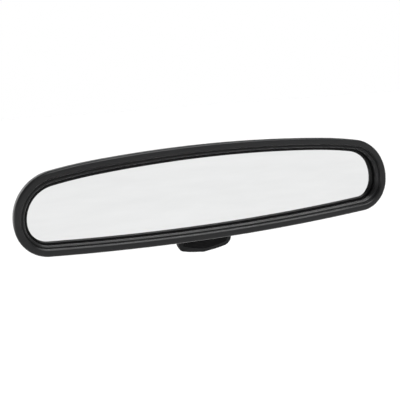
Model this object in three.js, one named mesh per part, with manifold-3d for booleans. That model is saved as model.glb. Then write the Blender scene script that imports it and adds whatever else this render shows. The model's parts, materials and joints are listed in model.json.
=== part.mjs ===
// Interior rearview mirror with a spring-hook foot, a ball joint and a day/night lever.
// Millimetres. +Y runs along the hook bolt into the car, the glass faces -Y, +Z is up.
// The origin is the centre of the foot's ring seat.
import * as THREE from 'three';
import { mergeVertices } from 'three/addons/utils/BufferGeometryUtils.js';
import Module from 'manifold-3d';

const wasm = await Module();
wasm.setup();

// ---------------------------------------------------------------- driving sizes

// foot
const FLANGE_R = 22;
const FLANGE_T = 3;
const DOME_R = 16.2;
const DOME_H = 6;
const WAIST_R = 7.6;
const BOSS_R = 9.75;
const BOSS_TOP_Y = 12.6;
const SPRING_SEAT_R = 5.3;
const TOOTH_COUNT = 10;
const BOLT_R = 2.6;
const BOLT_HEAD_R = 5.25;
const BOLT_HEAD_Y = 27.1;
const WASHER_R = 8.5;
const WASHER_Y = 25;
const WASHER_T = 1.8;
const COIL_R = 4.3;
const WIRE_R = 0.65;
const COIL_TURNS = 4.25;
const NECK_R = 4;
const SPIGOT_R = 2.6;

// ball joint
const BALL_Y = -23;
const BALL_R = 6;
const LINER_IN_R = 6.3;
const LINER_OUT_R = 7.4;
const SOCKET_R = 7.7;
const CUP_R = 9.9;
const MOUTH_ANGLE = rad(66);
const PLATE_R = 13.6;
const SCREW_CIRCLE_R = 11.5;

// head outline: five arcs on each side that run into one another
const HALF_LENGTH = 125;
const TOP_ARC_R = 898;
const SHOULDER_R = 300;
const UPPER_CORNER_R = 27.3;
const LOWER_CORNER_R = 20;
const BOTTOM_ARC_R = 1519;
const SHOULDER_START = rad(4.8);
const CORNER_CHANGE = rad(96);

// head depths, counted from the ball's centre (negative is towards the driver)
const FACE = -25.2;
const GLASS_FRONT = -17.9;
const GLASS_INSET = 6.6;
const GLASS_T_TOP = 5;
const GLASS_T_BOTTOM = 2.2;
const COAT_T = 0.3;
const PAD_BACK = -11.1;
const BACK_HOLE_R = 10.4;

// dipping mechanism, in the head's own depth
const HINGE_Y = -3;
const HINGE_Z = 17;
const PIVOT_Y = -4.5;
const PIVOT_Z = -19.6;
const PIN_R = 1.5;
const HUB_R = 3.3;
const THROW = 3.4;
const THROW_ROD_R = 1.1;
const LEVER_REST = rad(22);
const LEVER_T = 3;
const STEM_HALF = 12.6;
const PADDLE_HALF = 18.3;
const PADDLE_SIDE_END = 17.6;
const PADDLE_TIP = 24.2;
const PADDLE_BACK = 4;

// ---------------------------------------------------------------- small helpers

function rad(degrees) {
  return degrees * Math.PI / 180;
}

function material(name, color, metalness, roughness) {
  return new THREE.MeshStandardMaterial({ name, color, metalness, roughness });
}

function toSolid(geometry) {
  const plain = geometry.clone();
  plain.deleteAttribute('normal');
  plain.deleteAttribute('uv');
  const welded = mergeVertices(plain, 1e-5);
  return new wasm.Manifold(new wasm.Mesh({
    numProp: 3,
    vertProperties: new Float32Array(welded.attributes.position.array),
    triVerts: new Uint32Array(welded.index.array),
  }));
}

function toGeometry(solid) {
  const mesh = solid.getMesh();
  const geometry = new THREE.BufferGeometry();
  geometry.setAttribute('position', new THREE.BufferAttribute(new Float32Array(mesh.vertProperties), 3));
  geometry.setIndex(new THREE.BufferAttribute(new Uint32Array(mesh.triVerts), 1));
  geometry.computeVertexNormals();
  return geometry;
}

function combine(base, { add = [], cut = [] }) {
  let solid = toSolid(base);
  for (const piece of add) {
    solid = solid.add(toSolid(piece));
  }
  for (const piece of cut) {
    solid = solid.subtract(toSolid(piece));
  }
  return toGeometry(solid);
}

function box(x0, x1, y0, y1, z0, z1) {
  const geometry = new THREE.BoxGeometry(x1 - x0, y1 - y0, z1 - z0);
  geometry.translate((x0 + x1) / 2, (y0 + y1) / 2, (z0 + z1) / 2);
  return geometry;
}

// a rod along X
function rodX(radius, x0, x1, y, z, segments = 24) {
  const geometry = new THREE.CylinderGeometry(radius, radius, x1 - x0, segments);
  geometry.rotateZ(Math.PI / 2);
  geometry.translate((x0 + x1) / 2, y, z);
  return geometry;
}

// a rod along Y
function rodY(radius, y0, y1, x, z, segments = 24) {
  const geometry = new THREE.CylinderGeometry(radius, radius, y1 - y0, segments);
  geometry.translate(x, (y0 + y1) / 2, z);
  return geometry;
}

// a turned piece about the Y axis; the profile is [radius, y] pairs in either direction
function turned(profile, segments = 36) {
  let turnsLeft = 0;
  profile.forEach(([r, y], i) => {
    const [nextR, nextY] = profile[(i + 1) % profile.length];
    turnsLeft += r * nextY - nextR * y;
  });
  const ordered = turnsLeft > 0 ? profile : profile.slice().reverse();
  return new THREE.LatheGeometry(ordered.map(([r, y]) => new THREE.Vector2(r, y)), segments);
}

// points of a circle's arc in a [radius, y] profile, angles from the +Y axis
function arcProfile(radius, from, to, steps) {
  const points = [];
  for (let i = 0; i <= steps; i += 1) {
    const angle = from + (to - from) * i / steps;
    points.push([radius * Math.sin(angle), radius * Math.cos(angle)]);
  }
  return points;
}

// ---------------------------------------------------------------- head outline

// The right half is five arcs in a row, each with its own centre. An inset only shortens
// the radii, so every inset ring has the same number of points.
function outlineArcs() {
  const t1 = SHOULDER_START;
  const s1 = Math.sin(t1);
  const s2 = (HALF_LENGTH - UPPER_CORNER_R - (TOP_ARC_R - SHOULDER_R) * s1) / (SHOULDER_R - UPPER_CORNER_R);
  const t3 = CORNER_CHANGE;
  const s3 = Math.sin(t3);
  const reach = TOP_ARC_R * s1 + SHOULDER_R * (s2 - s1) + UPPER_CORNER_R * (s3 - s2) - LOWER_CORNER_R * s3;
  const t4 = Math.PI - Math.asin(reach / (BOTTOM_ARC_R - LOWER_CORNER_R));
  const radii = [TOP_ARC_R, SHOULDER_R, UPPER_CORNER_R, LOWER_CORNER_R, BOTTOM_ARC_R];
  const turns = [0, t1, Math.asin(s2), t3, t4, Math.PI];
  const steps = [3, 2, 8, 6, 4];
  let height = 0;
  radii.forEach((r, i) => {
    height += r * (Math.cos(turns[i]) - Math.cos(turns[i + 1]));
  });
  const arcs = [];
  let x = 0;
  let z = height / 2;
  radii.forEach((r, i) => {
    const centreX = x - r * Math.sin(turns[i]);
    const centreZ = z - r * Math.cos(turns[i]);
    arcs.push({ r, centreX, centreZ, from: turns[i], to: turns[i + 1], steps: steps[i] });
    x = centreX + r * Math.sin(turns[i + 1]);
    z = centreZ + r * Math.cos(turns[i + 1]);
  });
  return arcs;
}

const ARCS = outlineArcs();

// [x, z] pairs round the head, clockwise from the top as the driver sees it
function ring(inset) {
  const right = [];
  for (const arc of ARCS) {
    for (let i = 0; i < arc.steps; i += 1) {
      const angle = arc.from + (arc.to - arc.from) * i / arc.steps;
      const r = arc.r - inset;
      right.push([arc.centreX + r * Math.sin(angle), arc.centreZ + r * Math.cos(angle)]);
    }
  }
  const last = ARCS[ARCS.length - 1];
  const bottom = [0, last.centreZ - (last.r - inset)];
  right[0][0] = 0;
  const left = right.slice(1).reverse().map(([x, z]) => [-x, z]);
  return [...right, bottom, ...left];
}

// joins rings of equal point count; each ring is a list of [x, y, z]
function skin(rings, { closed = false, capStart = null, capEnd = null } = {}) {
  const count = rings[0].length;
  const positions = rings.flat(2);
  const index = [];
  const bands = closed ? rings.length : rings.length - 1;
  for (let k = 0; k < bands; k += 1) {
    const a = k * count;
    const b = ((k + 1) % rings.length) * count;
    for (let i = 0; i < count; i += 1) {
      const j = (i + 1) % count;
      index.push(a + i, b + i, a + j);
      index.push(a + j, b + i, b + j);
    }
  }
  if (capStart) {
    const tip = positions.length / 3;
    positions.push(...capStart);
    for (let i = 0; i < count; i += 1) {
      index.push(tip, i, (i + 1) % count);
    }
  }
  if (capEnd) {
    const tip = positions.length / 3;
    const base = (rings.length - 1) * count;
    positions.push(...capEnd);
    for (let i = 0; i < count; i += 1) {
      index.push(tip, base + (i + 1) % count, base + i);
    }
  }
  const geometry = new THREE.BufferGeometry();
  geometry.setAttribute('position', new THREE.BufferAttribute(new Float32Array(positions), 3));
  geometry.setIndex(signedVolume(positions, index) > 0 ? index : index.reverse());
  return geometry;
}

function signedVolume(positions, index) {
  const corner = (k) => new THREE.Vector3().fromArray(positions, 3 * index[k]);
  let volume = 0;
  for (let k = 0; k < index.length; k += 3) {
    volume += corner(k).dot(corner(k + 1).cross(corner(k + 2))) / 6;
  }
  return volume;
}

// a ring at one depth, drawn in a little more at its two ends than along its sides
function flatRing(inset, y, endDraw = 0) {
  const reach = 1 - endDraw / HALF_LENGTH;
  return ring(inset).map(([x, z]) => [x * reach, y, z]);
}

function shrunkRing(inset, scale, y, endDraw) {
  return flatRing(inset, y, endDraw).map(([x, , z]) => [x * scale, y, z * scale]);
}

// a slab between two planes that may lean: depth is a function of z
function slab(inset, frontAt, backAt) {
  const front = ring(inset).map(([x, z]) => [x, frontAt(z), z]);
  const back = ring(inset).map(([x, z]) => [x, backAt(z), z]);
  return skin([front, back], { capStart: [0, frontAt(0), 0], capEnd: [0, backAt(0), 0] });
}

// ---------------------------------------------------------------- foot

function makeFoot() {
  const profile = [[0, 5], [NECK_R + 0.3, 5], [NECK_R + 0.3, -FLANGE_T - 1.2], [7, -FLANGE_T - 1.2],
    [7.8, -FLANGE_T], [FLANGE_R - 0.7, -FLANGE_T], [FLANGE_R, -FLANGE_T + 0.8], [FLANGE_R, -0.6],
    [FLANGE_R - 0.6, 0], [18.9, 0], [18.9, -1], [DOME_R + 0.2, -1], [DOME_R + 0.2, 0]];
  for (let i = 1; i <= 4; i += 1) {
    const angle = rad(90) * i / 4;
    profile.push([9 + (DOME_R - 9) * Math.cos(angle), DOME_H * Math.sin(angle)]);
  }
  profile.push([WAIST_R, 6.6], [WAIST_R, 7.4], [BOSS_R, 8.3], [BOSS_R, 10]);
  profile.push([SPRING_SEAT_R + 0.6, BOSS_TOP_Y], [BOLT_R + 0.3, BOSS_TOP_Y], [BOLT_R + 0.3, 7.5], [0, 7.5]);
  const body = turned(profile, 30);
  const teeth = [];
  for (let i = 0; i < TOOTH_COUNT; i += 1) {
    const notch = box(-1, 1, 9.4, 14, 6.9, 12);
    notch.rotateY(2 * Math.PI * (i + 0.5) / TOOTH_COUNT);
    teeth.push(notch);
  }
  return combine(body, { cut: teeth });
}

function makeFootNeck() {
  return turned([[0, 4.6], [NECK_R - 0.4, 4.6], [NECK_R, 4.2], [NECK_R, BALL_Y + 11], [2.9, BALL_Y + 8],
    [2.9, BALL_Y + 6.4], [SPIGOT_R, BALL_Y + 6.2], [SPIGOT_R, BALL_Y - 2], [0, BALL_Y - 2]], 20);
}

function makeFootGasket() {
  return turned([[DOME_R + 0.5, -0.7], [18.6, -0.7], [18.6, 0.3], [17.7, 0.7],
    [DOME_R + 0.5, 0.3], [DOME_R + 0.5, -0.7]], 30);
}

function makeBolt() {
  return turned([[0, 7.9], [BOLT_R - 0.4, 7.9], [BOLT_R, 8.3], [BOLT_R, BOLT_HEAD_Y], [BOLT_HEAD_R, BOLT_HEAD_Y],
    [BOLT_HEAD_R, BOLT_HEAD_Y + 2], [BOLT_HEAD_R - 1, BOLT_HEAD_Y + 3.1], [2.4, BOLT_HEAD_Y + 3.3],
    [1.9, BOLT_HEAD_Y + 1.8], [0, BOLT_HEAD_Y + 1.8]], 20);
}

function makeWasher() {
  const top = WASHER_Y + WASHER_T;
  return turned([[BOLT_R + 0.3, WASHER_Y], [WASHER_R, WASHER_Y], [WASHER_R, top - 0.4], [WASHER_R - 0.4, top],
    [BOLT_R + 0.3, top], [BOLT_R + 0.3, WASHER_Y]], 28);
}

class Coil extends THREE.Curve {
  constructor(radius, y0, y1, turns) {
    super();
    Object.assign(this, { radius, y0, y1, turns });
  }

  getPoint(t, target = new THREE.Vector3()) {
    const angle = 2 * Math.PI * this.turns * t;
    return target.set(this.radius * Math.cos(angle), this.y0 + (this.y1 - this.y0) * t, this.radius * Math.sin(angle));
  }
}

function makeSpring() {
  const wire = new THREE.Shape();
  const sides = 6;
  for (let i = 0; i < sides; i += 1) {
    const angle = 2 * Math.PI * i / sides;
    const point = [WIRE_R * Math.cos(angle), WIRE_R * Math.sin(angle)];
    if (i === 0) {
      wire.moveTo(...point);
    } else {
      wire.lineTo(...point);
    }
  }
  const path = new Coil(COIL_R, BOSS_TOP_Y + 0.3 + WIRE_R, WASHER_Y - 0.3 - WIRE_R, COIL_TURNS);
  return new THREE.ExtrudeGeometry(wire, { steps: 62, bevelEnabled: false, extrudePath: path });
}

// ---------------------------------------------------------------- ball joint (depths from the ball's centre)

function makeBall() {
  const profile = [[0, -BALL_R], ...arcProfile(BALL_R, rad(180), rad(28), 9).slice(1)];
  const mouth = SPIGOT_R + 0.3;
  profile.push([mouth, 5.25], [mouth, -2.3], [0, -2.3]);
  return turned(profile, 22);
}

function makeLiner() {
  const outer = arcProfile(LINER_OUT_R, rad(180), MOUTH_ANGLE, 7);
  const inner = arcProfile(LINER_IN_R, MOUTH_ANGLE, rad(180), 7);
  outer[0][0] = 0;
  inner[7][0] = 0;
  return turned([...outer, ...inner], 22);
}

function screwSpots() {
  return [30, 150, 270].map((angle) => [SCREW_CIRCLE_R * Math.cos(rad(angle)), SCREW_CIRCLE_R * Math.sin(rad(angle))]);
}

function makeBracket() {
  const outer = arcProfile(CUP_R, rad(180), rad(104), 5);
  outer[0][0] = 0;
  const inner = arcProfile(SOCKET_R, rad(91.1), rad(180), 6);
  inner[6][0] = 0;
  const cup = turned([...outer, [PLATE_R, -2.4], [PLATE_R, -0.15], ...inner], 24);
  const add = [
    box(-8, 8, -2.4, -0.15, 9, 15.2),
    rodX(3.1, -8, 8, HINGE_Y, HINGE_Z, 18),
    box(-4.4, 4.4, -8.4, -0.3, -14.3, -9.3),
    box(-4.4, 4.4, -8.4, -7.2, -17.6, -14),
    box(-4.4, 4.4, -4.35, -3.15, -17.6, -14),
  ];
  const cut = [rodX(PIN_R + 0.15, -9, 9, HINGE_Y, HINGE_Z, 18)];
  for (const [x, z] of screwSpots()) {
    if (z > 0) {
      add.push(rodY(2.5, -6.6, -1, x, z, 14));
    }
    cut.push(rodY(1.5, -6, 1, x, z, 12));
  }
  return combine(cup, { add, cut });
}

function makeClampPlate() {
  const inner = arcProfile(SOCKET_R, rad(64.6), rad(88.9), 3);
  const profile = [...inner, [PLATE_R, 0.15], [PLATE_R, 1.5], [9.3, 1.5], [8.9, 3.3], inner[0]];
  const cut = screwSpots().map(([x, z]) => rodY(1.6, -1, 3, x, z, 12));
  return combine(turned(profile, 24), { cut });
}

function makeClampScrew(x, z) {
  const screw = turned([[0, -5.6], [0.9, -5.6], [1.3, -5], [1.3, 1.7], [1.9, 1.7], [1.9, 2.2], [1.5, 2.6], [1, 2.6],
    [0.8, 2.1], [0, 2.1]], 12);
  screw.translate(x, 0, z);
  return screw;
}

// ---------------------------------------------------------------- head (depths from the ball's centre)

function makeShell() {
  // [inset, depth, end draw] from the parting line to the back, then from the back to the front inside
  const outside = [[0.5, -16.7, 1], [1.2, -11, 3], [2.2, -6, 5.2], [3.8, -1.5, 7.5], [6.4, 2.5, 10], [9.8, 5.2, 13],
    [14.2, 6.9, 17]];
  const inside = [[16, 5.2, 19], [11.6, 3.6, 15.5], [8.3, 1.1, 12], [5.8, -2.4, 9.6], [4.2, -6.2, 7.4], [3.5, -9.5, 5.5],
    [8.4, -9.5, 0.6], [8.4, -10.7, 0.6], [4.4, -10.7, 0.6], [4.4, -19.2, 0.4], [2.8, -19.2, 0.4], [2.8, -16.7, 0.4]];
  // from the inner tip down the inner wall, round the ledge and tongue, then back up the outer wall
  const inner = [shrunkRing(16, 0.25, 6, 19), shrunkRing(16, 0.6, 5.8, 19),
    ...inside.map(([inset, y, draw]) => flatRing(inset, y, draw))];
  const outer = [...outside.map(([inset, y, draw]) => flatRing(inset, y, draw)),
    shrunkRing(14.2, 0.6, 7.8, 17), shrunkRing(14.2, 0.25, 8, 17)];
  const body = skin([...inner, ...outer], { capStart: [0, 6, 0], capEnd: [0, 8, 0] });
  const add = [];
  for (const side of [-1, 1]) {
    const near = side < 0 ? -12 : 8.5;
    const low = side < 0 ? -17 : 13.6;
    add.push(box(near, near + 3.5, HINGE_Y - 3.2, 3.4, HINGE_Z - 3.4, HINGE_Z + 3.4));
    add.push(box(low, low + 3.4, PIVOT_Y - 3, PIVOT_Y + 3, -24.3, PIVOT_Z + 2.6));
  }
  add.push(rodY(2.4, 1.3, 5.2, 9, -14.6, 14));
  const cut = [
    rodY(BACK_HOLE_R, 2, 12, 0, 0, 28),
    box(-13.3, 13.3, PIVOT_Y - 4.8, PIVOT_Y + 6, -32, -20.2),
    rodX(PIN_R + 0.15, -20, 20, HINGE_Y, HINGE_Z, 16),
    rodX(PIN_R + 0.15, -20, 20, PIVOT_Y, PIVOT_Z, 16),
    rodY(1.1, 0, 5, 9, -14.6, 12),
  ];
  return combine(body, { add, cut });
}

function makeBezel() {
  // [inset, depth, end draw]: skirt, rounded edge, flat face, first bead, second bead, lip, glass pocket
  const profile = [[0.5, -17, 1], [0.2, -20.5, 0.6], [0, -23.2, 0], [0.15, -24.2, 0], [0.7, FACE + 0.25, 0],
    [1.5, FACE, 0], [3.7, FACE + 0.1, 0], [4.4, -24.8, 0], [4.75, -24.1, 0], [4.85, -23.2, 0], [5.35, -22.8, 0],
    [5.9, -22.6, 0], [6.3, -22.1, 0], [6.5, -21.2, 0], [6.7, -18.9, 0], [7, -18.7, 0], [8.4, -18.35, 0],
    [8.4, -18.15, 0], [6.3, -18.15, 0], [6.3, -16, 0], [5, -16, 0], [5, -19.6, 0], [3.9, -22.2, 0.3],
    [2.6, -22.6, 0.4], [2.5, -17, 0.4]];
  return skin(profile.map(([inset, y, draw]) => flatRing(inset, y, draw)), { closed: true });
}

function glassBack(z) {
  const half = 22;
  return GLASS_FRONT + GLASS_T_BOTTOM + (GLASS_T_TOP - GLASS_T_BOTTOM) * (z + half) / (2 * half);
}

function makeGlass() {
  return slab(GLASS_INSET, () => GLASS_FRONT, glassBack);
}

function makeCoat() {
  return slab(GLASS_INSET + 0.2, (z) => glassBack(z) + 0.1, (z) => glassBack(z) + 0.1 + COAT_T);
}

function makePad() {
  return slab(GLASS_INSET + 0.4, (z) => glassBack(z) + 0.2 + COAT_T, () => PAD_BACK);
}

function makeHingePin() {
  return rodX(PIN_R, -13.6, 13.6, HINGE_Y, HINGE_Z, 18);
}

function makeLeverPin() {
  return rodX(PIN_R, -18.6, 18.6, PIVOT_Y, PIVOT_Z, 18);
}

function makePinClip(x, y, z) {
  const clip = turned([[PIN_R + 0.1, 0], [3, 0], [3, 0.6], [PIN_R + 0.1, 0.6], [PIN_R + 0.1, 0]], 16);
  clip.rotateZ(Math.PI / 2);
  clip.translate(x + 0.3, y, z);
  return clip;
}

function makeDetentSpring() {
  const side = new THREE.Shape();
  side.moveTo(0.95, -12.4);
  side.lineTo(0.95, -17.4);
  side.quadraticCurveTo(0.6, -18.6, -0.4, -19.2);
  side.quadraticCurveTo(-0.3, -19.8, 0.2, -20.4);
  side.lineTo(-0.2, -20.7);
  side.quadraticCurveTo(-0.8, -20, -0.9, -19.4);
  side.lineTo(-0.9, -18.9);
  side.quadraticCurveTo(0.2, -18.3, 0.45, -17.3);
  side.lineTo(0.45, -12.4);
  const strip = new THREE.ExtrudeGeometry(side, { depth: 5, bevelEnabled: false, curveSegments: 3 });
  // the shape's x runs along Y and its y along Z
  strip.applyMatrix4(new THREE.Matrix4().set(0, 0, 1, 6.5, 1, 0, 0, 0, 0, 1, 0, 0, 0, 0, 0, 1));
  return combine(strip, { cut: [rodY(1.3, -1, 2, 9, -14.6, 12)] });
}

function makeDetentScrew() {
  const screw = turned([[0, 4.4], [0.6, 4.4], [0.9, 4], [0.9, 0.2], [2, 0.2], [2, -0.3], [1.5, -0.8], [0.7, -0.8],
    [0.5, -0.4], [0, -0.4]], 12);
  screw.translate(9, 0, -14.6);
  return screw;
}

// ---------------------------------------------------------------- dipping lever (about its pivot, stem straight down)

// lower edge of the paddle: rounded corners and two shallow flanks that meet in a blunt point
function addPaddleFoot(face) {
  face.lineTo(-PADDLE_HALF, 1 - PADDLE_SIDE_END);
  face.quadraticCurveTo(-PADDLE_HALF, -PADDLE_SIDE_END - 0.6, 2.3 - PADDLE_HALF, 3.3 - PADDLE_TIP);
  face.lineTo(9.2 - PADDLE_HALF, 1.25 - PADDLE_TIP);
  face.lineTo(0, -PADDLE_TIP);
  face.lineTo(PADDLE_HALF - 9.2, 1.25 - PADDLE_TIP);
  face.lineTo(PADDLE_HALF - 2.3, 3.3 - PADDLE_TIP);
  face.quadraticCurveTo(PADDLE_HALF, -PADDLE_SIDE_END - 0.6, PADDLE_HALF, 1 - PADDLE_SIDE_END);
}

function makeLever() {
  const face = new THREE.Shape();
  face.moveTo(-STEM_HALF, -1.5);
  face.lineTo(-STEM_HALF, -10.6);
  face.quadraticCurveTo(-PADDLE_HALF, -11, -PADDLE_HALF, -12.6);
  addPaddleFoot(face);
  face.lineTo(PADDLE_HALF, -12.6);
  face.quadraticCurveTo(PADDLE_HALF, -11, STEM_HALF, -10.6);
  face.lineTo(STEM_HALF, -1.5);
  const stem = new THREE.ExtrudeGeometry(face, { depth: LEVER_T - 1, bevelEnabled: true, bevelThickness: 0.5,
    bevelSize: 0.4, bevelOffset: -0.4, bevelSegments: 1, curveSegments: 4 });
  stem.rotateX(Math.PI / 2);
  stem.translate(0, LEVER_T / 2 - 0.5, 0);
  const rear = new THREE.Shape();
  rear.moveTo(-PADDLE_HALF, -13.6);
  addPaddleFoot(rear);
  rear.lineTo(PADDLE_HALF, -13.6);
  const swell = new THREE.ExtrudeGeometry(rear, { depth: PADDLE_BACK - 1.6, bevelEnabled: true, bevelThickness: 0.8,
    bevelSize: 0.8, bevelOffset: -0.8, bevelSegments: 1, curveSegments: 4 });
  swell.rotateX(Math.PI / 2);
  swell.translate(0, PADDLE_BACK - 0.8, 0);
  const add = [swell];
  for (const x of [-STEM_HALF, 4.9]) {
    add.push(rodX(HUB_R, x, x + STEM_HALF - 4.9, 0, 0, 18));
  }
  for (const x of [-7, 4.9]) {
    add.push(rodX(1.8, x, x + 2.1, 0, THROW, 14));
    add.push(box(x, x + 2.1, -1.8, 1.8, 0, THROW));
  }
  add.push(rodX(THROW_ROD_R, -5.5, 5.5, 0, THROW, 12));
  const cut = [rodX(PIN_R + 0.15, -20, 20, 0, 0, 16), box(-4.9, 4.9, -4, 4, -2.4, 2.2)];
  return combine(stem, { add, cut });
}

function makeGrip() {
  const half = 15.2;
  const face = new THREE.Shape();
  face.moveTo(-half, -13.6);
  face.lineTo(-half, -17.4);
  face.quadraticCurveTo(0, -25, half, -17.4);
  face.lineTo(half, -13.6);
  const pad = new THREE.ExtrudeGeometry(face, { depth: 0.6, bevelEnabled: true, bevelThickness: 0.4, bevelSize: 0.4,
    bevelSegments: 1, curveSegments: 6 });
  pad.rotateX(Math.PI / 2);
  pad.translate(0, -LEVER_T / 2 - 0.5, 0);
  return pad;
}

// ---------------------------------------------------------------- assembly

const DARK = 0x34363a;
const root = new THREE.Group();
root.name = 'interior_rearview_mirror';

function put(name, geometry, look) {
  const mesh = new THREE.Mesh(geometry, look);
  mesh.name = name;
  root.add(mesh);
}

function putHead(name, geometry, look) {
  geometry.translate(0, BALL_Y, 0);
  put(name, geometry, look);
}

function putLever(name, geometry, look) {
  geometry.rotateX(LEVER_REST);
  geometry.translate(0, PIVOT_Y, PIVOT_Z);
  putHead(name, geometry, look);
}

put('mount_foot', makeFoot(), material('mount_foot', DARK, 0.2, 0.5));
put('foot_neck', makeFootNeck(), material('foot_neck', 0x8d9095, 1, 0.35));
put('foot_gasket', makeFootGasket(), material('foot_gasket', 0x161616, 0, 0.9));
put('keyhole_bolt', makeBolt(), material('keyhole_bolt', 0x9a6a48, 1, 0.35));
put('tension_spring', makeSpring(), material('tension_spring', 0x232326, 0.8, 0.4));
put('spring_washer', makeWasher(), material('spring_washer', 0x2b2c30, 0.7, 0.4));

putHead('pivot_ball', makeBall(), material('pivot_ball', 0xb0b3b8, 1, 0.2));
putHead('ball_liner', makeLiner(), material('ball_liner', 0xe6e2d6, 0, 0.5));
putHead('joint_bracket', makeBracket(), material('joint_bracket', 0x7c8085, 0.8, 0.5));
putHead('clamp_plate', makeClampPlate(), material('clamp_plate', 0x8a8e93, 0.9, 0.4));
screwSpots().forEach(([x, z], i) => {
  putHead(`clamp_screw_${i + 1}`, makeClampScrew(x, z), material(`clamp_screw_${i + 1}`, 0xa5a8ac, 1, 0.3));
});

putHead('shell', makeShell(), material('shell', DARK, 0, 0.55));
putHead('bezel', makeBezel(), material('bezel', 0x3b3d41, 0, 0.45));
putHead('glass', makeGlass(), material('glass', 0xdfe4e6, 0.1, 0.05));
putHead('silver_coat', makeCoat(), material('silver_coat', 0xd9dcde, 1, 0.1));
putHead('foam_pad', makePad(), material('foam_pad', 0x1e1e20, 0, 0.95));
putHead('hinge_pin', makeHingePin(), material('hinge_pin', 0xb4b7bb, 1, 0.25));
putHead('lever_pin', makeLeverPin(), material('lever_pin', 0xb4b7bb, 1, 0.25));
const clipSpots = [[-13, HINGE_Y, HINGE_Z], [12.3, HINGE_Y, HINGE_Z], [-18, PIVOT_Y, PIVOT_Z], [17.3, PIVOT_Y, PIVOT_Z]];
clipSpots.forEach(([x, y, z], i) => {
  putHead(`pin_clip_${i + 1}`, makePinClip(x, y, z), material(`pin_clip_${i + 1}`, 0x6f7276, 1, 0.35));
});
putHead('detent_spring', makeDetentSpring(), material('detent_spring', 0x9fa3a8, 1, 0.3));
putHead('detent_screw', makeDetentScrew(), material('detent_screw', 0xa5a8ac, 1, 0.3));

putLever('dip_lever', makeLever(), material('dip_lever', 0x17181a, 0, 0.5));
putLever('lever_grip', makeGrip(), material('lever_grip', 0x121314, 0, 0.8));

export default root;
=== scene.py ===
"""Looks for the interior rearview mirror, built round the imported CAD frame.

The mirror hangs from its foot: +Y runs along the hook bolt into the car, the glass faces -Y and
+Z is up. Shapes are written in millimetres and turned to metres when a mesh is made. Depths in the
head are counted from the centre of the ball joint, negative towards the driver.
"""

import json
import math

import bmesh
import bpy
from mathutils import Matrix, Vector


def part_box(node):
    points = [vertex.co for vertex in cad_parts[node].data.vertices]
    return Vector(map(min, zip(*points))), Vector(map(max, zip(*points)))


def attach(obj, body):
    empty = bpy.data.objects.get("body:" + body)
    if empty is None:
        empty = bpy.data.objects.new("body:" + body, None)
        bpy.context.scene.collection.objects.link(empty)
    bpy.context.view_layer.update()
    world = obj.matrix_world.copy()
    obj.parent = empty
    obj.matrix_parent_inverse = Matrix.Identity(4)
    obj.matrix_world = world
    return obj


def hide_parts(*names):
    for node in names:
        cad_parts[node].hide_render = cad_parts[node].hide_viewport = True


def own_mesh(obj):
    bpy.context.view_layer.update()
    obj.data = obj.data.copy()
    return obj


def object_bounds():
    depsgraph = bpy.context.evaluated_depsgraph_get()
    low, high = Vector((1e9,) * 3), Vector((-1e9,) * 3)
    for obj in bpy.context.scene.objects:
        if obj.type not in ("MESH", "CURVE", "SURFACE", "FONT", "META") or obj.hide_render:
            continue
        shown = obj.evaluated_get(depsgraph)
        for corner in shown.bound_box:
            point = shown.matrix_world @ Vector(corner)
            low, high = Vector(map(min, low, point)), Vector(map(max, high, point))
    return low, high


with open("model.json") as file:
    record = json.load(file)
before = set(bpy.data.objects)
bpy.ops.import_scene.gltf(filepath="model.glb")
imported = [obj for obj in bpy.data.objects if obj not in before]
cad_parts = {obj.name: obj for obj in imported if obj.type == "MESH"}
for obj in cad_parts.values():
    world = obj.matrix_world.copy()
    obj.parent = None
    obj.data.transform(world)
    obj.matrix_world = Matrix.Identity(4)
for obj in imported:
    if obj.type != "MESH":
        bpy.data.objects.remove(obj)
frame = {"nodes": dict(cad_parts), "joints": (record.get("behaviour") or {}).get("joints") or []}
cad_low, cad_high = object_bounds()

MM = 0.001
TURN = 2 * math.pi


def joint(name):
    return next(j for j in frame["joints"] if j["name"] == name)


def joint_place(name):
    """A joint's point in millimetres, in the row frame."""
    return Vector(joint(name)["pos_m"]) / MM


def node_box(name):
    """Lowest and highest corner of a CAD node in millimetres, in the row frame."""
    low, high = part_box(name)
    return low / MM, high / MM


# ---------------------------------------------------------------- sizes

BALL = joint_place("ball_roll")
HINGE = joint_place("dip_tilt") - BALL
PIVOT = joint_place("lever_swing") - BALL

# head outline: five arcs on each side that run into one another
HALF_LENGTH = node_box("bezel")[1].x
TOP_ARC_R = 898
SHOULDER_R = 300
UPPER_CORNER_R = 27.3
LOWER_CORNER_R = 20
BOTTOM_ARC_R = 1519
SHOULDER_START = math.radians(4.8)
CORNER_CHANGE = math.radians(96)
ARC_STEPS = (14, 6, 30, 24, 18)

# head depths
FACE = node_box("bezel")[0].y - BALL.y
GLASS_FRONT = node_box("glass")[0].y - BALL.y
GLASS_INSET = 6.7
GLASS_EDGE_LOW = 2.2
GLASS_WEDGE = 2.8
BACK_HOLE_R = 10.4
LEAF_SCREW = (9, 0, -14.6)

# the opening against the outline: how far in it begins, and its shift, narrowing, turn (radians) and drop
WINDOW_START = 4.5
WINDOW_BLEND = 3.9
WINDOW_SHIFT_X = 0.25
WINDOW_NARROW = 0.0022
WINDOW_TURN = 0.0046
WINDOW_DROP = 0.15

# foot
FLANGE_R = 22
FLANGE_T = 3
DOME_R = 16.2
BOSS_R = 9.75
BOSS_TOP = 12.6
TOOTH_COUNT = 10
BOLT_HOLE_R = 2.9
WASHER_R = 8.5
WASHER_LOW, WASHER_TOP = (node_box("spring_washer")[k].y for k in (0, 1))
BOLT_HEAD_LOW = 27.1
COIL_R = 4.3
WIRE_R = 0.65
COIL_LOW, COIL_TOP = (node_box("tension_spring")[k].y for k in (0, 1))

# ball joint
BALL_R = 6
LINER_IN_R = 6.3
LINER_OUT_R = 7.4
SOCKET_R = 7.7
CUP_R = 9.9
PLATE_R = 13.6
SCREW_CIRCLE_R = 11.5

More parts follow.
